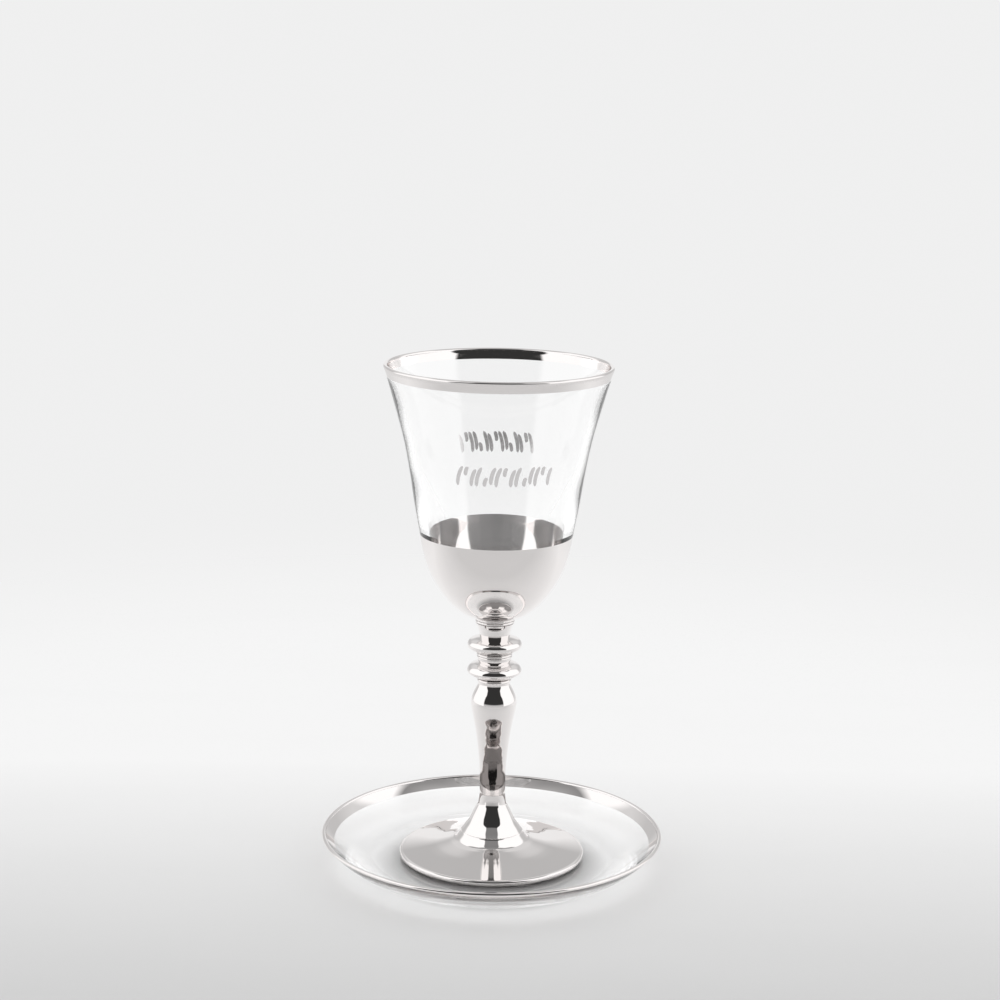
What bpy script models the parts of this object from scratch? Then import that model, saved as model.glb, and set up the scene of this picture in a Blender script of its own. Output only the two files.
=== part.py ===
"""A stemmed wine cup of part-silvered glass, and the glass saucer that it stands on.

Both pieces are turned shapes round the Z axis. The origin is the centre of the saucer's
underside, where the set stands on a table. Lengths are in millimetres, and turned() scales
them to metres.
"""

import math

import bpy

MM = 0.001

# Facets round each piece: a multiple of four, so that the facets reach the full width on X and Y
CUP_FACETS = 36
SAUCER_FACETS = 48

# Saucer: a flat middle, a wall that curls up to a rounded lip
SAUCER_RADIUS = 63.3
SAUCER_HEIGHT = 12.7
SAUCER_BASE_RADIUS = 42.0
SAUCER_FLOOR_RADIUS = 44.0
SAUCER_FLOOR = 3.0
SAUCER_LIP_ROUND = 0.8
SAUCER_WALL_POWER = 2.0
SAUCER_WALL_STEPS = 5

# Cup: heights are above its own underside
REST_GAP = 0.3
CUP_HEIGHT = 185.0
LIP_ROUND = 0.8

# Bowl: (height, radius) points of its two sides, from the lip down
BOWL_OUTSIDE = (
    (184.2, 41.5),
    (178.9, 39.8),
    (169.9, 37.2),
    (157.9, 34.0),
    (145.9, 31.7),
    (134.8, 30.0),
    (124.8, 28.2),
    (116.8, 26.8),
    (109.8, 24.6),
    (103.8, 21.4),
    (98.8, 17.8),
    (94.7, 13.6),
    (92.8, 10.4),
    (92.2, 7.6),
)
BOWL_INSIDE = (
    (184.2, 39.9),
    (169.9, 35.1),
    (157.9, 31.6),
    (145.9, 29.0),
    (134.8, 26.8),
    (124.8, 24.8),
    (117.3, 23.4),
    (110.8, 21.2),
    (105.3, 17.9),
    (101.3, 13.4),
    (98.9, 7.8),
    (98.1, 0.0),
)

# Stem: fine rings as (height of the middle, radius, half height), and (height, radius) points
# of the curves between them, from the top down
COLLAR_RINGS = ((91.3, 7.4, 0.5), (90.2, 7.2, 0.5))
COLLAR_ROOT = 6.8
NECK = ((89.6, 7.1), (87.7, 6.2), (86.0, 5.8), (84.15, 5.45))
UPPER_KNOP = (
    (84.15, 5.45),
    (83.8, 7.1),
    (83.1, 9.0),
    (82.4, 9.7),
    (81.5, 10.0),
    (80.3, 9.75),
    (79.2, 8.1),
    (78.3, 6.3),
)
WAIST_RINGS = ((77.7, 6.6, 0.4), (76.8, 6.5, 0.4))
WAIST_ROOT = 6.2
WAIST = ((76.2, 6.2), (75.3, 6.0), (74.45, 5.7))
LOWER_KNOP = (
    (74.45, 5.7),
    (74.25, 7.2),
    (73.7, 8.5),
    (73.0, 9.4),
    (71.8, 10.0),
    (70.8, 9.85),
    (69.7, 8.3),
    (68.8, 6.3),
)
UNDER_RING = (67.8, 6.3, 0.5)
UNDER_ROOT = 5.9
BALUSTER = (
    (66.4, 5.85),
    (65.6, 6.15),
    (64.2, 6.87),
    (62.7, 7.62),
    (61.1, 8.18),
    (59.4, 8.43),
    (57.8, 8.3),
    (56.3, 8.04),
    (54.5, 7.69),
    (52.0, 7.18),
    (49.0, 6.64),
    (46.5, 6.24),
    (44.0, 5.89),
    (40.0, 5.41),
    (35.0, 4.98),
    (30.0, 4.76),
    (27.5, 4.74),
    (25.0, 4.77),
    (23.9, 4.8),
    (22.4, 4.96),
    (21.0, 5.18),
    (19.9, 5.4),
    (19.1, 5.78),
    (18.0, 6.36),
    (16.5, 7.13),
    (15.0, 7.85),
    (13.5, 8.65),
    (12.0, 9.75),
    (10.8, 10.65),
    (9.9, 11.4),
)

# Foot: a joint line, a skirt and a low cone with a rounded edge, hollowed underneath
SEAM_HEIGHT = 9.76
SEAM_RADIUS = 11.15
SKIRT = (
    (9.62, 11.32),
    (9.3, 11.48),
    (8.8, 11.88),
    (7.8, 12.72),
    (7.05, 13.35),
    (6.55, 13.95),
    (6.2, 14.9),
)
FOOT_TOP = (
    (5.85, 16.0),
    (4.78, 20.0),
    (4.25, 22.3),
    (3.72, 25.0),
    (3.2, 28.2),
    (2.5, 33.05),
)
FOOT_RADIUS = 34.4
FOOT_EDGE_WIDTH = 1.35
FOOT_EDGE_HEIGHT = 2.5
STANDING_RING = 29.0
HOLLOW_RADIUS = 26.0
HOLLOW_DEPTH = 1.2

ARC_STEPS = 4

SILVER = (0.56, 0.55, 0.56)
CLEAR_GLASS = (0.92, 0.94, 0.95)


def arc(centre, radii, start, end, steps):
    """Points of an ellipse's arc as (radius, height), angles in degrees from outwards to up."""
    points = []
    for step in range(steps + 1):
        angle = math.radians(start + (end - start) * step / steps)
        points.append(
            (centre[0] + radii[0] * math.cos(angle), centre[1] + radii[1] * math.sin(angle))
        )
    return points


def curve(stations):
    """The points of a curve's (height, radius) stations, as (radius, height)."""
    return [(radius, height) for height, radius in stations]


def ring(middle, radius, half_height, root):
    """The outline of a fine turned ring, from the top down."""
    return [(root, middle + half_height), (radius, middle), (root, middle - half_height)]


def cup_outline():
    """The cup's section as (radius, height), from the bottom of the bowl's inside, over the lip
    and down the outside to the middle of the underside."""
    lip_middle = BOWL_OUTSIDE[0][1] - LIP_ROUND
    lip_height = CUP_HEIGHT - LIP_ROUND

    outline = curve(BOWL_INSIDE)[::-1]
    outline += arc((lip_middle, lip_height), (LIP_ROUND, LIP_ROUND), 180, 0, ARC_STEPS)[1:]
    outline += curve(BOWL_OUTSIDE)[1:]
    for collar_ring in COLLAR_RINGS:
        outline += ring(*collar_ring, COLLAR_ROOT)
    outline += curve(NECK)
    outline += curve(UPPER_KNOP)[1:]
    for waist_ring in WAIST_RINGS:
        outline += ring(*waist_ring, WAIST_ROOT)
    outline += curve(WAIST)
    outline += curve(LOWER_KNOP)[1:]
    outline += ring(*UNDER_RING, UNDER_ROOT)
    outline += curve(BALUSTER)
    outline += [(SEAM_RADIUS, SEAM_HEIGHT)]
    outline += curve(SKIRT + FOOT_TOP)
    outline += arc(
        (FOOT_RADIUS - FOOT_EDGE_WIDTH, FOOT_EDGE_HEIGHT / 2),
        (FOOT_EDGE_WIDTH, FOOT_EDGE_HEIGHT / 2),
        90,
        -90,
        ARC_STEPS,
    )[1:]
    outline += [(STANDING_RING, 0.0), (HOLLOW_RADIUS, HOLLOW_DEPTH), (0.0, HOLLOW_DEPTH)]
    return outline


def saucer_outline():
    """The saucer's section as (radius, height), from the middle of its top, over the lip and down
    the outside to the middle of the underside."""
    lip_middle = SAUCER_RADIUS - SAUCER_LIP_ROUND
    lip_height = SAUCER_HEIGHT - SAUCER_LIP_ROUND
    lip_inside = (lip_middle - SAUCER_LIP_ROUND, lip_height)
    steps = SAUCER_WALL_STEPS

    outline = [(0.0, SAUCER_FLOOR)]
    for step in range(steps):
        t = step / steps
        radius = SAUCER_FLOOR_RADIUS + (lip_inside[0] - SAUCER_FLOOR_RADIUS) * t
        height = SAUCER_FLOOR + (lip_height - SAUCER_FLOOR) * t**SAUCER_WALL_POWER
        outline.append((radius, height))
    outline += arc(
        (lip_middle, lip_height), (SAUCER_LIP_ROUND, SAUCER_LIP_ROUND), 180, 0, ARC_STEPS
    )
    for step in range(1, steps + 1):
        t = 1 - step / steps
        radius = SAUCER_BASE_RADIUS + (SAUCER_RADIUS - SAUCER_BASE_RADIUS) * t
        outline.append((radius, lip_height * t**SAUCER_WALL_POWER))
    outline.append((0.0, 0.0))
    return outline


def material(name, colour, metallic, roughness):
    """A plain Principled material."""
    made = bpy.data.materials.new(name)
    made.use_nodes = True
    shader = made.node_tree.nodes["Principled BSDF"]
    shader.inputs["Base Color"].default_value = (*colour, 1.0)
    shader.inputs["Metallic"].default_value = metallic
    shader.inputs["Roughness"].default_value = roughness
    return made


def turned(name, outline, base, facets, finish, collection):
    """A closed solid turned round the Z axis from a section of (radius, height) in millimetres."""
    mesh = bpy.data.meshes.new(name)
    points = [(radius * MM, 0.0, (base + height) * MM) for radius, height in outline]
    edges = [(index, index + 1) for index in range(len(points) - 1)]
    mesh.from_pydata(points, edges, [])
    mesh.materials.append(finish)
    piece = bpy.data.objects.new(name, mesh)
    collection.objects.link(piece)

    screw = piece.modifiers.new("Turn", "SCREW")
    screw.axis = "Z"
    screw.angle = math.radians(360)
    screw.steps = facets
    screw.render_steps = facets
    screw.use_merge_vertices = True
    screw.merge_threshold = 0.00001
    screw.use_smooth_shade = True
    return piece


def main():
    for old in list(bpy.data.objects):
        bpy.data.objects.remove(old, do_unlink=True)
    collection = bpy.data.collections.new("cup_and_saucer")
    bpy.context.scene.collection.children.link(collection)

    silvered = material("silvered_glass", SILVER, 1.0, 0.05)
    clear = material("clear_glass", CLEAR_GLASS, 0.0, 0.02)
    turned(
        "goblet", cup_outline(), SAUCER_FLOOR + REST_GAP, CUP_FACETS, silvered, collection
    )
    turned("saucer", saucer_outline(), 0.0, SAUCER_FACETS, clear, collection)


main()
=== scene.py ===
"""Looks of the kiddush cup and saucer: clear glass, part-silvered, in a plain white studio.

Two turned meshes stand for the frame's two nodes. Each is one piece of glass whose faces are
either clear or mirror silver, and strokes of silver lie on the bowl. Lengths are in
millimetres and angles in degrees. Heights of the cup are above its own underside.
"""

import math

import bpy
from mathutils import Matrix


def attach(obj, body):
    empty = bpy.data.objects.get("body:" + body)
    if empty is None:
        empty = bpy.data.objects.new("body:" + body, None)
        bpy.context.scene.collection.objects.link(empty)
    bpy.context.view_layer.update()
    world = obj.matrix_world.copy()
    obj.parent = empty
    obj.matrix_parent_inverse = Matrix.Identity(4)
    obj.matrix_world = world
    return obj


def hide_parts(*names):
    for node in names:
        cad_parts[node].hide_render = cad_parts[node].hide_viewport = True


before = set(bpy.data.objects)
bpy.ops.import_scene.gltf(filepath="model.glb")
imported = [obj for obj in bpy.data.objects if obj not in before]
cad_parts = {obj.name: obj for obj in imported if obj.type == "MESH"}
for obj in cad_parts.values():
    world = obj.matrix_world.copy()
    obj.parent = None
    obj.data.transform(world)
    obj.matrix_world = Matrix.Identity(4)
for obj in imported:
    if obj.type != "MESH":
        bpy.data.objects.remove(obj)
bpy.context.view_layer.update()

# A millimetre in metres
MM = 0.001

# Places of the two numbers in a point of a finished outline. The driving points of the curves
# below are written the other way round, as (height, radius)
RADIUS = 0
HEIGHT = 1

# Turned meshes: sides round the axis, steps of each curve, arc and fine ring of an outline, and
# the angle between two faces from which their edge stays sharp
SEGMENTS = 216
CURVE_STEPS = 4
ARC_STEPS = 12
RING_STEPS = 10
TURNED_SHARP_ANGLE = 32

# Saucer: the same driving sizes as its solid, with its underside a hair above the floor
SAUCER_RADIUS = 63.3
SAUCER_HEIGHT = 12.7
SAUCER_BASE_RADIUS = 42.0
SAUCER_FLOOR_RADIUS = 44.0
SAUCER_FLOOR = 3.0
SAUCER_LIP_ROUND = 0.8
SAUCER_WALL_POWER = 2.0
SAUCER_WALL_STEPS = 24
SAUCER_BAND_INNER_RADIUS = 58.7
SAUCER_BAND_OUTER_HEIGHT = 11.2
BASE_CLEARANCE = 0.05

# Cup: the same driving sizes as its solid
REST_GAP = 0.3
CUP_BASE = SAUCER_FLOOR + REST_GAP
CUP_HEIGHT = 185.0
LIP_ROUND = 0.8

# Bowl: (height, radius) points of its two sides, from the lip down
BOWL_OUTSIDE = (
    (184.2, 41.5),
    (178.9, 39.8),
    (169.9, 37.2),
    (157.9, 34.0),
    (145.9, 31.7),
    (134.8, 30.0),
    (124.8, 28.2),
    (116.8, 26.8),
    (109.8, 24.6),
    (103.8, 21.4),
    (98.8, 17.8),
    (94.7, 13.6),
    (92.8, 10.4),
    (92.2, 7.6),
)
BOWL_INSIDE = (
    (184.2, 39.9),
    (169.9, 35.1),
    (157.9, 31.6),
    (145.9, 29.0),
    (134.8, 26.8),
    (124.8, 24.8),
    (117.3, 23.4),
    (110.8, 21.2),
    (105.3, 17.9),
    (101.3, 13.4),
    (98.9, 7.8),
    (98.1, 0.0),
)
RIM_BAND_EDGE = 180.8
SILVER_LINE = 123.1

# Stem: fine rings as (height of the middle, radius, half height), and (height, radius) points
# of the curves between them, from the top down
COLLAR_RINGS = ((91.3, 7.4, 0.5), (90.2, 7.2, 0.5))
COLLAR_ROOT = 6.8
NECK = ((89.6, 7.1), (87.7, 6.2), (86.0, 5.8), (84.15, 5.45))
UPPER_KNOP = (
    (84.15, 5.45),
    (83.8, 7.1),
    (83.1, 9.0),
    (82.4, 9.7),
    (81.5, 10.0),
    (80.3, 9.75),
    (79.2, 8.1),
    (78.3, 6.3),
)
WAIST_RINGS = ((77.7, 6.6, 0.4), (76.8, 6.5, 0.4))
WAIST_ROOT = 6.2
WAIST = ((76.2, 6.2), (75.3, 6.0), (74.45, 5.7))
LOWER_KNOP = (
    (74.45, 5.7),
    (74.25, 7.2),
    (73.7, 8.5),
    (73.0, 9.4),
    (71.8, 10.0),
    (70.8, 9.85),
    (69.7, 8.3),
    (68.8, 6.3),
)
UNDER_RING = (67.8, 6.3, 0.5)
UNDER_ROOT = 5.9
BALUSTER = (
    (66.4, 5.85),
    (65.6, 6.15),
    (64.2, 6.87),
    (62.7, 7.62),
    (61.1, 8.18),
    (59.4, 8.43),
    (57.8, 8.3),
    (56.3, 8.04),
    (54.5, 7.69),
    (52.0, 7.18),
    (49.0, 6.64),
    (46.5, 6.24),
    (44.0, 5.89),
    (40.0, 5.41),
    (35.0, 4.98),
    (30.0, 4.76),
    (27.5, 4.74),
    (25.0, 4.77),
    (23.9, 4.8),
    (22.4, 4.96),
    (21.0, 5.18),
    (19.9, 5.4),
    (19.1, 5.78),
    (18.0, 6.36),
    (16.5, 7.13),
    (15.0, 7.85),
    (13.5, 8.65),
    (12.0, 9.75),
    (10.8, 10.65),
    (9.9, 11.4),
)

# Foot: a joint line, a skirt and a low cone with a rounded edge, hollowed underneath
SEAM_HEIGHT = 9.76
SEAM_RADIUS = 11.15
SKIRT = (
    (9.62, 11.32),
    (9.3, 11.48),
    (8.8, 11.88),
    (7.8, 12.72),
    (7.05, 13.35),
    (6.55, 13.95),
    (6.2, 14.9),
)
FOOT_TOP = (
    (5.85, 16.0),
    (4.78, 20.0),
    (4.25, 22.3),
    (3.72, 25.0),
    (3.2, 28.2),
    (2.5, 33.05),
)
FOOT_RADIUS = 34.4
FOOT_EDGE_WIDTH = 1.35
FOOT_EDGE_HEIGHT = 2.5
STANDING_RING = 29.0
HOLLOW_RADIUS = 26.0
HOLLOW_DEPTH = 1.2

# Strokes: a row of leaning marks in front and one behind, printed round the bowl in groups
STROKE_LIFT = 0.03
STROKE_THICKNESS = 0.10
STROKE_HEIGHT = 7.7
STROKE_WIDTH = 1.4
STROKE_LEAN = 13.0
STROKE_BEND = 0.07
STROKE_ROW_HEIGHT = 146.4
# The ends of a stroke are squarer with a higher power, and blunter with a higher bluntness
STROKE_END_POWER = 5
STROKE_BLUNTNESS = 0.02
STROKE_LENGTH_STEPS = 14
STROKE_WIDTH_STEPS = 3
STROKE_SHARP_ANGLE = 40
# Each mark of a group: (place across the group, height of its middle, length)
MARKS = ((-0.36, 0.50, 0.96), (0.0, 0.74, 0.44), (0.36, 0.45, 0.86))
GROUPS = 5
# Each row: (degrees round from the front, width of a group)
FRONT_ROW = (4.8, 6.9)
BACK_ROW = (181.4, 6.0)

# Silver: colours and roughness from least to most, bump depth in millimetres, and noise
# patterns as (scale, detail). A squash below 1 stretches a pattern along that axis
SILVER_COLOURS = ((0.900, 0.868, 0.858), (0.935, 0.905, 0.895))
SILVER_ROUGHNESS = (0.015, 0.05)
SILVER_RELIEF = 0.035
SILVER_CLOUD = (60.0, 3.0)
SILVER_HAZE = (240.0, 4.0)
SILVER_HAZE_RANGE = (0.3, 0.8)
SLOW_WAVE = (45.0, 1.0)
SLOW_WAVE_SHARE = 0.6
TAPER_WAVE = (260.0, 2.0)
TAPER_WAVE_SQUASH = (1.0, 1.0, 0.45)
# Heights above the floor between which the waves of the stem's taper grow and die away
TAPER_FOOT = (20.0, 28.0)
TAPER_HEAD = (56.0, 64.0)

# Print, glass and paper, in the same terms
PRINT_COLOURS = ((0.84, 0.82, 0.82), (0.92, 0.90, 0.90))
PRINT_ROUGHNESS = (0.20, 0.26)
PRINT_GRAIN = (900.0, 2.0)
PRINT_GRAIN_RANGE = (0.3, 0.7)
GLASS_COLOURS = ((0.992, 0.993, 0.993), (1.0, 1.0, 1.0))
GLASS_REFRACTION = 1.5
GLASS_RELIEF = 0.02
GLASS_CLOUD = (30.0, 2.0)
GLASS_WAVE = (55.0, 1.0)
PAPER_FIBRE = (14.0, 5.0)
PAPER_FIBRE_SQUASH = (0.35, 1.6, 1.0)
PAPER_FIBRE_SHARE = 0.10

# Floor: a disc of paper with painted light, a darker tone in front and a lighter one behind, the
# places on the Y axis between which one becomes the other, and the radii between which the paper
# fades out
FLOOR_RADIUS = 640.0
FLOOR_SEGMENTS = 128
FLOOR_PAINTED_LIGHT_TONES = (0.56, 0.80)
FLOOR_PAINTED_LIGHT_SLOPE = (-125.0, 112.0)
FLOOR_FADE = (260.0, 620.0)
# The soft round shade of the cup's foot, painted on the paper: how far forwards it lies, the radii
# within which it is darkest and at which it is gone, and its tone as a share of the paper's
SHADE_FORWARDS = 6.0
SHADE_REACH = (33.0, 44.0)
SHADE_DARKEST = 0.46

# Light tent: brightness by elevation in its front, sides, back corners and back
FRONT_TONES = (
    (-90, 0.66),
    (-20, 0.62),
    (-2, 0.54),
    (3, 0.035),
    (46, 0.035),
    (49, 0.21),
    (62, 0.25),
    (76, 0.31),
    (90, 0.50),
)
SIDE_TONES = (
    (-90, 0.74),
    (-14, 0.74),
    (-6, 1.12),
    (59, 1.12),
    (64, 0.28),
    (75, 0.42),
    (90, 0.50),
)
CORNER_TONES = ((-90, 0.80), (-4, 0.74), (8, 0.57), (18, 0.58), (30, 0.72), (90, 0.72))
BACK_TONES = ((-90, 0.86), (14, 0.90), (22, 0.52), (90, 0.50))
BRIGHTEST = 1.3
# Turns from the front over which each of these takes over from the one before
SIDE_BEGINS = (48, 53)
CORNER_BEGINS = (121, 131)
BACK_BEGINS = (162, 170)
# Turns over which the sides grow lower, and by how much
SIDES_FALL = (62, 95)
SIDES_FALL_RATIO = 1.16
# The dark opening in the front is narrower by its rounding at the top, and by a power of the
# height below that
OPENING_TOP = 46.0
OPENING_ROUNDING = 18.0
OPENING_POWER = 4.0

# What a ray of light has met: each limit lies between two counts of surfaces. Light from a chain
# of mirrorings is dimmed, and what is seen through the whole bowl has a thin veil over it
ANY_SURFACE = 0.5
DEEP_MIRRORINGS = 2.5
DEEP_DIMMING = 0.30
BOWL_SURFACES = 3.5
BOWL_VEIL = 0.12
# Light that the edges of clear glass gather from behind, past these turns from the front
EDGE_LIGHT = 0.35
BEHIND = (95, 110)
# Strength of the plain backdrop and of the light on matt things, (straight, through glass)
BACKDROP = (0.868, 0.95)
MATT_LIGHT = (1.15, 1.35)
# How often light is mirrored, or passes into glass or out, before it is lost, and all together
GLASS_BOUNCES = 24
ALL_BOUNCES = 32

# Camera: a short telephoto lens before the cup, a little above it and very slightly off level
CAMERA_DISTANCE = 800.8
CAMERA_HEIGHT = 310.0
CAMERA_PITCH = 12.079
CAMERA_YAW = 0.078
CAMERA_ROLL = 0.935
CAMERA_LENS = 81.415
CAMERA_SENSOR = 36.0
CAMERA_NEAREST = 10.0


def in_metres(lengths):
    """Lengths in millimetres, in metres."""
    return tuple(length * MM for length in lengths)


def in_radians(angles):
    """Angles in degrees, in radians."""
    return tuple(math.radians(angle) for angle in angles)


# ---- outlines -----------------------------------------------------------------------------


def arc(centre, radii, start, end, steps):
    """Points of an ellipse's arc as (radius, height), angles in degrees from outwards to up."""
    points = []
    for step in range(steps + 1):
        angle = math.radians(start + (end - start) * step / steps)
        radius = centre[0] + radii[0] * math.cos(angle)
        height = centre[1] + radii[1] * math.sin(angle)
        points.append((radius, height))
    return points


def between(before, start, end, after, t):
    """A point of the Catmull-Rom curve between start and end, t from 0 to 1."""
    point = []
    for a, b, c, d in zip(before, start, end, after):
        squared = 2 * a - 5 * b + 4 * c - d
        cubed = 3 * b - a - 3 * c + d
        point.append(0.5 * (2 * b + (c - a) * t + squared * t**2 + cubed * t**3))
    return tuple(point)


def smooth(stations):
    """A fine curve through (height, radius) stations, as (radius, height) points."""
    points = [(radius, height) for height, radius in stations]
    first = tuple(2 * a - b for a, b in zip(points[0], points[1]))
    last = tuple(2 * a - b for a, b in zip(points[-1], points[-2]))
    padded = [first, *points, last]
    curve = []
    for before, start, end, after in zip(padded, padded[1:], padded[2:], padded[3:]):
        for step in range(CURVE_STEPS):
            curve.append(between(before, start, end, after, step / CURVE_STEPS))
    curve.append(points[-1])
    return curve


def cut(points, axis, value):
    """The two parts of a run of points, parted where its RADIUS or HEIGHT is a value."""
    for index, (start, end) in enumerate(zip(points, points[1:])):
        if min(start[axis], end[axis]) <= value <= max(start[axis], end[axis]):
            t = (value - start[axis]) / (end[axis] - start[axis])
            place = tuple(a + (b - a) * t for a, b in zip(start, end))
            return points[: index + 1] + [place], [place] + points[index + 1 :]
    raise ValueError("the run of points doesn't pass that value")


def ring(middle, radius, half_height, root):
    """The rounded outline of a fine ring that swells out of a stem, from the top down."""
    return arc((root, middle), (radius - root, half_height), 90, -90, RING_STEPS)


def stem_outline():
    """The stem's section below the bowl, down to the joint line above the foot."""
    outline = []
    for collar_ring in COLLAR_RINGS:
        outline += ring(*collar_ring, COLLAR_ROOT)
    outline += smooth(NECK)
    outline += smooth(UPPER_KNOP)[1:]
    for waist_ring in WAIST_RINGS:
        outline += ring(*waist_ring, WAIST_ROOT)
    outline += smooth(WAIST)
    outline += smooth(LOWER_KNOP)[1:]
    outline += ring(*UNDER_RING, UNDER_ROOT)
    outline += smooth(BALUSTER)
    return outline


def foot_outline():
    """The foot's section from the joint line, over its edge to the middle of its underside."""
    outline = [(SEAM_RADIUS, SEAM_HEIGHT)]
    outline += smooth(SKIRT + FOOT_TOP)
    edge_middle = (FOOT_RADIUS - FOOT_EDGE_WIDTH, FOOT_EDGE_HEIGHT / 2)
    edge_radii = (FOOT_EDGE_WIDTH, FOOT_EDGE_HEIGHT / 2)
    outline += arc(edge_middle, edge_radii, 90, -90, ARC_STEPS)[1:]
    outline += [(STANDING_RING, 0.0), (HOLLOW_RADIUS, HOLLOW_DEPTH), (0.0, HOLLOW_DEPTH)]
    return outline


def cup_runs():
    """The cup's section as (finish, points) runs, from the bottom of the bowl's inside, over
    the lip and down the outside to the middle of the underside."""
    outside = smooth(BOWL_OUTSIDE)
    lip_middle = outside[0][RADIUS] - LIP_ROUND
    lip = arc((lip_middle, CUP_HEIGHT - LIP_ROUND), (LIP_ROUND, LIP_ROUND), 180, 0, ARC_STEPS)
    band, below_band = cut(outside, HEIGHT, RIM_BAND_EDGE)
    clear, silvered = cut(below_band, HEIGHT, SILVER_LINE)
    return [
        ("glass", smooth(BOWL_INSIDE)[::-1]),
        ("silver", lip + band[1:]),
        ("glass", clear),
        ("silver", silvered + stem_outline() + foot_outline()),
    ]


def saucer_wall(from_radius, to_radius, foot_height, top_height):
    """A wall that rises between two radii, ever steeper."""
    points = []
    for step in range(SAUCER_WALL_STEPS + 1):
        t = step / SAUCER_WALL_STEPS
        radius = from_radius + (to_radius - from_radius) * t
        height = foot_height + (top_height - foot_height) * t**SAUCER_WALL_POWER
        points.append((radius, height))
    return points


def saucer_runs():
    """The saucer's section as (finish, points) runs, from the middle of its top, over the lip
    and down the outside to the middle of the underside."""
    lip_middle = SAUCER_RADIUS - SAUCER_LIP_ROUND
    lip_height = SAUCER_HEIGHT - SAUCER_LIP_ROUND
    lip_inside = lip_middle - SAUCER_LIP_ROUND
    lip_radii = (SAUCER_LIP_ROUND, SAUCER_LIP_ROUND)
    inside = saucer_wall(SAUCER_FLOOR_RADIUS, lip_inside, SAUCER_FLOOR, lip_height)
    outside = saucer_wall(SAUCER_BASE_RADIUS, SAUCER_RADIUS, BASE_CLEARANCE, lip_height)
    lip = arc((lip_middle, lip_height), lip_radii, 180, 0, ARC_STEPS)
    clear_inside, band_inside = cut(inside, RADIUS, SAUCER_BAND_INNER_RADIUS)
    band_outside, clear_outside = cut(outside[::-1], HEIGHT, SAUCER_BAND_OUTER_HEIGHT)
    return [
        ("glass", [(0.0, SAUCER_FLOOR), *clear_inside]),
        ("silver", band_inside + lip[1:] + band_outside[1:]),
        ("glass", [*clear_outside, (0.0, BASE_CLEARANCE)]),
    ]


# ---- materials ----------------------------------------------------------------------------


def node(tree, kind, **inputs):
    """A new node with the values of its sockets, by their names with _ for a space."""
    made = tree.nodes.new(kind)
    for name, value in inputs.items():
        made.inputs[name.replace("_", " ")].default_value = value
    return made


def own_place(tree):
    """The place on an object, in its own coordinates."""
    return tree.nodes.new("ShaderNodeTexCoord").outputs["Object"]


def parts_of(tree, vector):
    """The node whose outputs are a vector's X, Y and Z."""
    parts = tree.nodes.new("ShaderNodeSeparateXYZ")
    tree.links.new(vector, parts.inputs["Vector"])
    return parts


def length_of(tree, vector):
    """The length of a vector."""
    made = tree.nodes.new("ShaderNodeVectorMath")
    made.operation = "LENGTH"
    tree.links.new(vector, made.inputs[0])
    return made.outputs["Value"]


def noise(tree, place, scale, detail, squash=(1.0, 1.0, 1.0)):
    """Noise over the object's own coordinates, squashed along its axes."""
    stretch = node(tree, "ShaderNodeMapping", Scale=squash)
    pattern = node(tree, "ShaderNodeTexNoise", Scale=scale, Detail=detail)
    tree.links.new(place, stretch.inputs["Vector"])
    tree.links.new(stretch.outputs["Vector"], pattern.inputs["Vector"])
    return pattern.outputs["Fac"]


def remap(tree, value, span, target=(0.0, 1.0), shape="SMOOTHSTEP"):
    """A value's span, remapped to a target span and held within it."""
    made = node(
        tree,
        "ShaderNodeMapRange",
        From_Min=span[0],
        From_Max=span[1],
        To_Min=target[0],
        To_Max=target[1],
    )
    made.interpolation_type = shape
    tree.links.new(value, made.inputs["Value"])
    return made.outputs["Result"]


def calculate(tree, operation, *values):
    """One arithmetic step, of sockets or plain numbers."""
    made = tree.nodes.new("ShaderNodeMath")
    made.operation = operation
    for index, value in enumerate(values):
        if isinstance(value, (int, float)):
            made.inputs[index].default_value = value
        else:
            tree.links.new(value, made.inputs[index])
    return made.outputs[0]


def grey(brightness):
    """A neutral colour as three plain numbers."""
    return (brightness,) * 3


def mix_colours(tree, fac, first, second, blend="MIX"):
    """The first colour where fac is 0, blended with the second where it is 1. Each colour is a
    socket or three plain numbers."""
    mix = tree.nodes.new("ShaderNodeMix")
    mix.data_type = "RGBA"
    mix.blend_type = blend
    tree.links.new(fac, mix.inputs["Factor"])
    for name, colour in (("A", first), ("B", second)):
        if isinstance(colour, tuple):
            mix.inputs[name].default_value = (*colour, 1.0)
        else:
            tree.links.new(colour, mix.inputs[name])
    return mix.outputs["Result"]


def bump(tree, height, depth):
    """A bump of a height pattern, its full depth in millimetres."""
    made = node(tree, "ShaderNodeBump", Distance=depth * MM, Strength=1.0)
    tree.links.new(height, made.inputs["Height"])
    return made.outputs["Normal"]


def met_more(tree, path, kind, limit):
    """1 where a ray has met more surfaces of a kind than the limit, and 0 elsewhere."""
    return calculate(tree, "GREATER_THAN", path.outputs[kind + " Depth"], limit)


def dimmed_when_deep(tree, colour):
    """A colour, dimmer where it is seen through a chain of several mirrorings outside glass."""
    path = tree.nodes.new("ShaderNodeLightPath")
    deep = met_more(tree, path, "Glossy", DEEP_MIRRORINGS)
    outside = calculate(tree, "LESS_THAN", path.outputs["Transmission Depth"], ANY_SURFACE)
    deep = calculate(tree, "MULTIPLY", deep, outside)
    return mix_colours(tree, deep, colour, grey(DEEP_DIMMING), "MULTIPLY")


def new_material(name):
    """A material with its node tree and its Principled shader."""
    material = bpy.data.materials.new(name)
    material.use_nodes = True
    tree = material.node_tree
    return material, tree, tree.nodes["Principled BSDF"]


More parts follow.
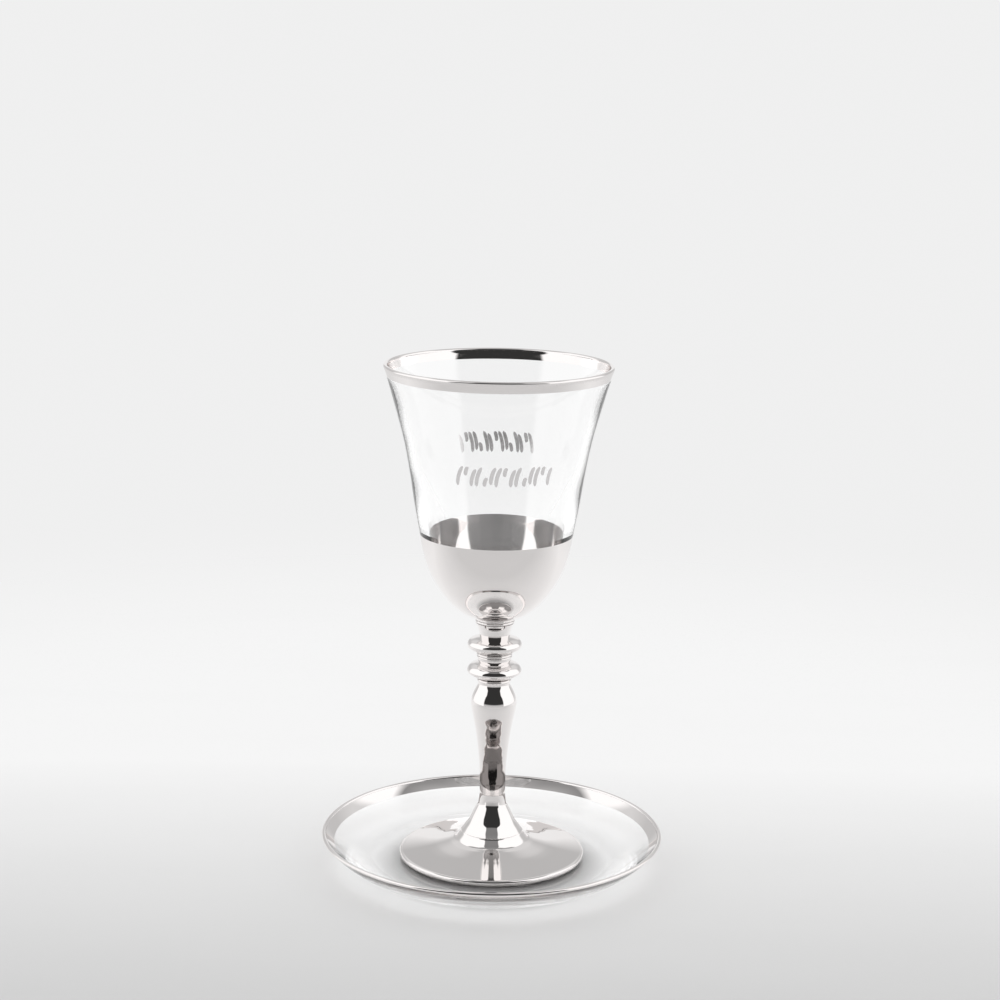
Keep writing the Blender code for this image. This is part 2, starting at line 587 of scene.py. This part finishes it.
def silver_material():
    """Mirror silver fired on glass: bright, faintly warm, with the glass's slow waves under it."""
    material, tree, shader = new_material("mirror_silver")
    place = own_place(tree)
    height = parts_of(tree, place).outputs["Z"]

    cloud = noise(tree, place, *SILVER_CLOUD)
    tree.links.new(mix_colours(tree, cloud, *SILVER_COLOURS), shader.inputs["Base Color"])
    haze = noise(tree, place, *SILVER_HAZE)
    roughness = remap(tree, haze, SILVER_HAZE_RANGE, SILVER_ROUGHNESS)
    tree.links.new(roughness, shader.inputs["Roughness"])
    shader.inputs["Metallic"].default_value = 1.0

    # The hand-worked taper of the stem is wavier than the pressed bowl and foot
    above_foot = remap(tree, height, in_metres(TAPER_FOOT))
    below_head = remap(tree, height, in_metres(TAPER_HEAD), (1.0, 0.0))
    taper = calculate(tree, "MULTIPLY", above_foot, below_head)
    wave = noise(tree, place, *TAPER_WAVE, TAPER_WAVE_SQUASH)
    ripple = calculate(tree, "MULTIPLY", wave, taper)
    slow = calculate(tree, "MULTIPLY", noise(tree, place, *SLOW_WAVE), SLOW_WAVE_SHARE)
    relief = calculate(tree, "ADD", ripple, slow)
    tree.links.new(bump(tree, relief, SILVER_RELIEF), shader.inputs["Normal"])
    return material


def print_material():
    """The silver of the printed strokes, satin beside the mirror silver."""
    material, tree, shader = new_material("printed_silver")
    grain = noise(tree, own_place(tree), *PRINT_GRAIN)
    tree.links.new(mix_colours(tree, grain, *PRINT_COLOURS), shader.inputs["Base Color"])
    roughness = remap(tree, grain, PRINT_GRAIN_RANGE, PRINT_ROUGHNESS)
    tree.links.new(roughness, shader.inputs["Roughness"])
    shader.inputs["Metallic"].default_value = 1.0
    return material


def glass_material():
    """Clear soda glass with the faint waves of blown work."""
    material, tree, shader = new_material("clear_soda_glass")
    place = own_place(tree)
    cloud = noise(tree, place, *GLASS_CLOUD)
    tree.links.new(mix_colours(tree, cloud, *GLASS_COLOURS), shader.inputs["Base Color"])
    shader.inputs["Transmission Weight"].default_value = 1.0
    shader.inputs["IOR"].default_value = GLASS_REFRACTION
    shader.inputs["Roughness"].default_value = 0.0
    wave = noise(tree, place, *GLASS_WAVE)
    tree.links.new(bump(tree, wave, GLASS_RELIEF), shader.inputs["Normal"])
    return material


def in_painted_contact_shade(tree, place, colour):
    """A colour under the painted soft round shade of the cup's foot, which lies a little forwards.
    """
    offset = node(tree, "ShaderNodeMapping", Location=(0.0, SHADE_FORWARDS * MM, 0.0))
    tree.links.new(place, offset.inputs["Vector"])
    distance = length_of(tree, offset.outputs["Vector"])
    light = remap(tree, distance, in_metres(SHADE_REACH), (SHADE_DARKEST, 1.0), "LINEAR")
    shaded = tree.nodes.new("ShaderNodeVectorMath")
    shaded.operation = "SCALE"
    tree.links.new(colour, shaded.inputs[0])
    tree.links.new(light, shaded.inputs["Scale"])
    return shaded.outputs["Vector"]


def floor_material():
    """Matt white paper with painted light, darker in front and brighter behind the cup, and a
    painted shade round the cup's foot, that fades into the backdrop far away.
    """
    material, tree, shader = new_material("white_paper")
    place = own_place(tree)
    depth = parts_of(tree, place).outputs["Y"]
    # Painted light: the paper is darker in front and lighter behind, as the light falls from the
    # back
    painted_light_slope = remap(tree, depth, in_metres(FLOOR_PAINTED_LIGHT_SLOPE), shape="LINEAR")
    fibre = calculate(tree, "SUBTRACT", noise(tree, place, *PAPER_FIBRE, PAPER_FIBRE_SQUASH), 0.5)
    fleck = calculate(tree, "MULTIPLY", fibre, PAPER_FIBRE_SHARE)
    painted_light_and_fibre = calculate(tree, "ADD", painted_light_slope, fleck)
    front_painted_tone, back_painted_tone = FLOOR_PAINTED_LIGHT_TONES
    paper = mix_colours(tree, painted_light_and_fibre, grey(front_painted_tone), grey(back_painted_tone))
    # Painted shade of the cup's foot on the paper
    paper = dimmed_when_deep(tree, in_painted_contact_shade(tree, place, paper))
    tree.links.new(paper, shader.inputs["Base Color"])
    shader.inputs["Roughness"].default_value = 1.0
    shader.inputs["Specular IOR Level"].default_value = 0.0
    solid = remap(tree, length_of(tree, place), in_metres(FLOOR_FADE), (1.0, 0.0))
    tree.links.new(solid, shader.inputs["Alpha"])
    return material


# ---- meshes -------------------------------------------------------------------------------


def new_piece(name, vertices, faces, finishes):
    """A mesh object in the scene, from vertices in millimetres."""
    mesh = bpy.data.meshes.new(name)
    mesh.from_pydata([tuple(value * MM for value in vertex) for vertex in vertices], [], faces)
    for finish in finishes:
        mesh.materials.append(finish)
    piece = bpy.data.objects.new(name, mesh)
    bpy.context.scene.collection.objects.link(piece)
    return piece


def turned(name, runs, base, finishes):
    """A closed mesh turned round the Z axis from (finish, points) runs, base mm up."""
    names = list(finishes)
    outline = []
    slots = []
    for finish, points in runs:
        outline += points[1:] if outline else points
        slots += [names.index(finish)] * (len(points) - 1)

    vertices = []
    rings = []
    for radius, height in outline:
        count = 1 if radius == 0.0 else SEGMENTS
        rings.append([len(vertices) + index for index in range(count)])
        for index in range(count):
            angle = 2 * math.pi * index / SEGMENTS
            vertices.append((radius * math.cos(angle), radius * math.sin(angle), base + height))

    faces = []
    face_slots = []
    for upper, lower, slot in zip(rings, rings[1:], slots):
        for index in range(SEGMENTS):
            after = (index + 1) % SEGMENTS
            corners = (
                upper[index % len(upper)],
                lower[index % len(lower)],
                lower[after % len(lower)],
                upper[after % len(upper)],
            )
            faces.append(tuple(dict.fromkeys(corners)))
            face_slots.append(slot)

    piece = new_piece(name, vertices, faces, finishes.values())
    piece.data.polygons.foreach_set("material_index", face_slots)
    piece.data.shade_smooth()
    piece.data.set_sharp_from_angle(angle=math.radians(TURNED_SHARP_ANGLE))
    return piece


def on_bowl(round_from, along, height, lift):
    """A point lifted off the bowl's outside, a length along it from a place round it in degrees
    from the front."""
    above, _ = cut(smooth(BOWL_OUTSIDE), HEIGHT, height)
    radius = above[-1][RADIUS]
    angle = math.radians(round_from - 90) + along / radius
    radius += lift
    return (radius * math.cos(angle), radius * math.sin(angle), CUP_BASE + height)


def stroke_skin(vertices, round_from, along, height, length, lift):
    """Adds the vertices of a stroke's upper or lower side, and gives their numbers in rows: a bar
    with tapered blunt ends, bent and leant, wrapped on the bowl."""
    lean = math.radians(STROKE_LEAN)
    skin = []
    for step in range(STROKE_LENGTH_STEPS + 1):
        t = 2 * step / STROKE_LENGTH_STEPS - 1
        up = t * length / 2
        bend = STROKE_BEND * length * (t * t - 0.5)
        width = STROKE_WIDTH * math.sqrt(max(1 - abs(t) ** STROKE_END_POWER, STROKE_BLUNTNESS))
        row = []
        for side in range(STROKE_WIDTH_STEPS + 1):
            across = (side / STROKE_WIDTH_STEPS - 0.5) * width + bend
            leant_along = along + across * math.cos(lean) + up * math.sin(lean)
            leant_height = height + up * math.cos(lean) - across * math.sin(lean)
            row.append(len(vertices))
            vertices.append(on_bowl(round_from, leant_along, leant_height, lift))
        skin.append(row)
    return skin


def add_stroke(vertices, faces, *place):
    """Adds one thin stroke, closed on all sides, at a place that stroke_skin takes."""
    under = stroke_skin(vertices, *place, STROKE_LIFT)
    over = stroke_skin(vertices, *place, STROKE_LIFT + STROKE_THICKNESS)
    for row in range(STROKE_LENGTH_STEPS):
        after = row + 1
        for side in range(STROKE_WIDTH_STEPS):
            beside = side + 1
            top = (over[row][side], over[row][beside], over[after][beside], over[after][side])
            base = (under[row][side], under[after][side], under[after][beside], under[row][beside])
            faces += [top, base]
        faces.append((under[row][0], over[row][0], over[after][0], under[after][0]))
        faces.append((under[after][-1], over[after][-1], over[row][-1], under[row][-1]))
    for side in range(STROKE_WIDTH_STEPS):
        beside = side + 1
        faces.append((under[0][beside], over[0][beside], over[0][side], under[0][side]))
        faces.append((under[-1][side], over[-1][side], over[-1][beside], under[-1][beside]))


def stroke_row(name, round_from, pitch, finish):
    """A row of slim leaning strokes on the bowl's outside, with its middle a number of degrees
    round from the front. Every second group of marks is turned over."""
    vertices = []
    faces = []
    for group in range(GROUPS):
        for place, level, length in MARKS:
            along = (group - (GROUPS - 1) / 2 + place) * pitch
            share = 1 - level if group % 2 == 1 else level
            height = STROKE_ROW_HEIGHT + share * STROKE_HEIGHT
            add_stroke(vertices, faces, round_from, along, height, length * STROKE_HEIGHT)
    piece = new_piece(name, vertices, faces, [finish])
    piece.data.shade_smooth()
    piece.data.set_sharp_from_angle(angle=math.radians(STROKE_SHARP_ANGLE))
    return piece


def build_object():
    """The cup, the saucer and the strokes, each riding on the frame."""
    finishes = {"glass": glass_material(), "silver": silver_material()}
    cup = turned("cup", cup_runs(), CUP_BASE, finishes)
    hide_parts("goblet")
    dish = turned("dish", saucer_runs(), 0.0, finishes)
    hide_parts("saucer")

    print_silver = print_material()
    front = stroke_row("front_strokes", *FRONT_ROW, print_silver)
    back = stroke_row("back_strokes", *BACK_ROW, print_silver)
    for piece in (cup, dish, front, back):
        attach(piece, "root")


# ---- studio -------------------------------------------------------------------------------


def floor_disc(finish):
    """The flat floor, wide enough to fade out within it."""
    vertices = []
    for index in range(FLOOR_SEGMENTS):
        angle = 2 * math.pi * index / FLOOR_SEGMENTS
        vertices.append((FLOOR_RADIUS * math.cos(angle), FLOOR_RADIUS * math.sin(angle), 0.0))
    piece = new_piece("floor", vertices, [tuple(range(FLOOR_SEGMENTS))], [finish])


def view_angles(tree):
    """The elevation of a direction and its turn from the front to either side, in radians."""
    direction = parts_of(tree, tree.nodes.new("ShaderNodeTexCoord").outputs["Generated"])
    elevation = calculate(tree, "ARCSINE", direction.outputs["Z"])
    forwards = calculate(tree, "MULTIPLY", direction.outputs["Y"], -1.0)
    azimuth = calculate(tree, "ARCTAN2", direction.outputs["X"], forwards)
    return elevation, calculate(tree, "ABSOLUTE", azimuth)


def tones(tree, elevation, stops):
    """A tone by elevation, from (elevation, brightness) stops, as a share of BRIGHTEST."""
    ramp = tree.nodes.new("ShaderNodeValToRGB")
    level = calculate(tree, "DIVIDE", elevation, math.pi)
    tree.links.new(calculate(tree, "ADD", level, 0.5), ramp.inputs["Fac"])
    elements = ramp.color_ramp.elements
    while len(elements) < len(stops):
        elements.new(0.5)
    for element, (degrees, brightness) in zip(elements, stops):
        element.position = (degrees + 90) / 180
        element.color = (*grey(brightness / BRIGHTEST), 1.0)
    return ramp.outputs["Color"]


def tent_tones(tree, elevation, turn):
    """The light tent's tone in a direction, as a share of BRIGHTEST."""
    # The opening in the tent's front narrows towards its rounded top
    rise = calculate(tree, "DIVIDE", elevation, math.radians(OPENING_TOP))
    rise = calculate(tree, "MINIMUM", calculate(tree, "MAXIMUM", rise, 0.0), 1.0)
    rise = calculate(tree, "POWER", rise, OPENING_POWER)
    narrowing = calculate(tree, "MULTIPLY", rise, math.radians(OPENING_ROUNDING))
    beside = calculate(tree, "ADD", turn, narrowing)

    # The tent's white sides are lower towards its back
    fall = remap(tree, turn, in_radians(SIDES_FALL), (1.0, SIDES_FALL_RATIO))
    side_elevation = calculate(tree, "MULTIPLY", elevation, fall)

    around = tones(tree, elevation, FRONT_TONES)
    for place, begins, height, stops in (
        (beside, SIDE_BEGINS, side_elevation, SIDE_TONES),
        (turn, CORNER_BEGINS, elevation, CORNER_TONES),
        (turn, BACK_BEGINS, elevation, BACK_TONES),
    ):
        past = remap(tree, place, in_radians(begins))
        around = mix_colours(tree, past, around, tones(tree, height, stops))
    return around


def lighter(tree, colour, fac, amount):
    """A colour, lighter by an amount where fac is 1."""
    return mix_colours(tree, fac, colour, grey(amount / BRIGHTEST), "ADD")


def plain_light(tree, through, strengths):
    """An even white background, with one strength seen straight and one seen through glass."""
    light = node(tree, "ShaderNodeBackground", Color=(1.0, 1.0, 1.0, 1.0))
    strength = remap(tree, through, (0.0, 1.0), strengths)
    tree.links.new(strength, light.inputs["Strength"])
    return light


def mix_shaders(tree, fac, first, second):
    """One shader node where fac is 0 and another where it is 1."""
    mix = tree.nodes.new("ShaderNodeMixShader")
    tree.links.new(fac, mix.inputs[0])
    tree.links.new(first.outputs[0], mix.inputs[1])
    tree.links.new(second.outputs[0], mix.inputs[2])
    return mix


def studio_world():
    """Even white to the camera and to matt things; to polished ones, the white walls, grey
    ceiling and dark front opening of a photographer's light tent."""
    world = bpy.data.worlds.new("light_tent")
    bpy.context.scene.world = world
    world.use_nodes = True
    world.cycles.sampling_method = "NONE"
    tree = world.node_tree
    tree.nodes.clear()

    path = tree.nodes.new("ShaderNodeLightPath")
    through = met_more(tree, path, "Transmission", ANY_SURFACE)
    through_bowl = met_more(tree, path, "Transmission", BOWL_SURFACES)
    mirrored = met_more(tree, path, "Glossy", ANY_SURFACE)
    lit = met_more(tree, path, "Diffuse", ANY_SURFACE)

    # The tent is lighter as seen within clear glass: a veil over the bowl, and its bright edges
    elevation, turn = view_angles(tree)
    behind = remap(tree, turn, in_radians(BEHIND))
    thin_glass = calculate(tree, "SUBTRACT", through, through_bowl)
    edges = calculate(tree, "MULTIPLY", thin_glass, behind)
    seen_tent = dimmed_when_deep(tree, tent_tones(tree, elevation, turn))
    seen_tent = lighter(tree, seen_tent, through_bowl, BOWL_VEIL)
    seen_tent = lighter(tree, seen_tent, edges, EDGE_LIGHT)
    tent = node(tree, "ShaderNodeBackground", Strength=BRIGHTEST)
    tree.links.new(seen_tent, tent.inputs["Color"])

    seen = mix_shaders(tree, mirrored, plain_light(tree, through, BACKDROP), tent)
    seen = mix_shaders(tree, lit, seen, plain_light(tree, through, MATT_LIGHT))
    output = tree.nodes.new("ShaderNodeOutputWorld")
    tree.links.new(seen.outputs[0], output.inputs["Surface"])


def studio():
    """The floor and the light."""
    floor_disc(floor_material())
    studio_world()
    scene = bpy.context.scene
    scene.view_settings.view_transform = "Standard"
    scene.cycles.blur_glossy = 0.0
    scene.cycles.glossy_bounces = GLASS_BOUNCES
    scene.cycles.transmission_bounces = GLASS_BOUNCES
    scene.cycles.max_bounces = ALL_BOUNCES


def camera():
    """The camera, before the cup and looking slightly down at it."""
    pitch, yaw, roll = in_radians((CAMERA_PITCH, CAMERA_YAW, CAMERA_ROLL))
    facing = Matrix.Rotation(-yaw, 3, "Z") @ Matrix.Rotation(math.radians(90) - pitch, 3, "X")
    facing = (facing @ Matrix.Rotation(roll, 3, "Z")).to_4x4()
    place = Matrix.Translation((0.0, -CAMERA_DISTANCE * MM, CAMERA_HEIGHT * MM))
    data = bpy.data.cameras.new("camera")
    data.lens = CAMERA_LENS
    data.sensor_width = CAMERA_SENSOR
    data.clip_start = CAMERA_NEAREST * MM
    view = bpy.data.objects.new("camera", data)
    view.matrix_world = place @ facing
    bpy.context.scene.collection.objects.link(view)
    bpy.context.scene.camera = view


camera()
studio()
build_object()
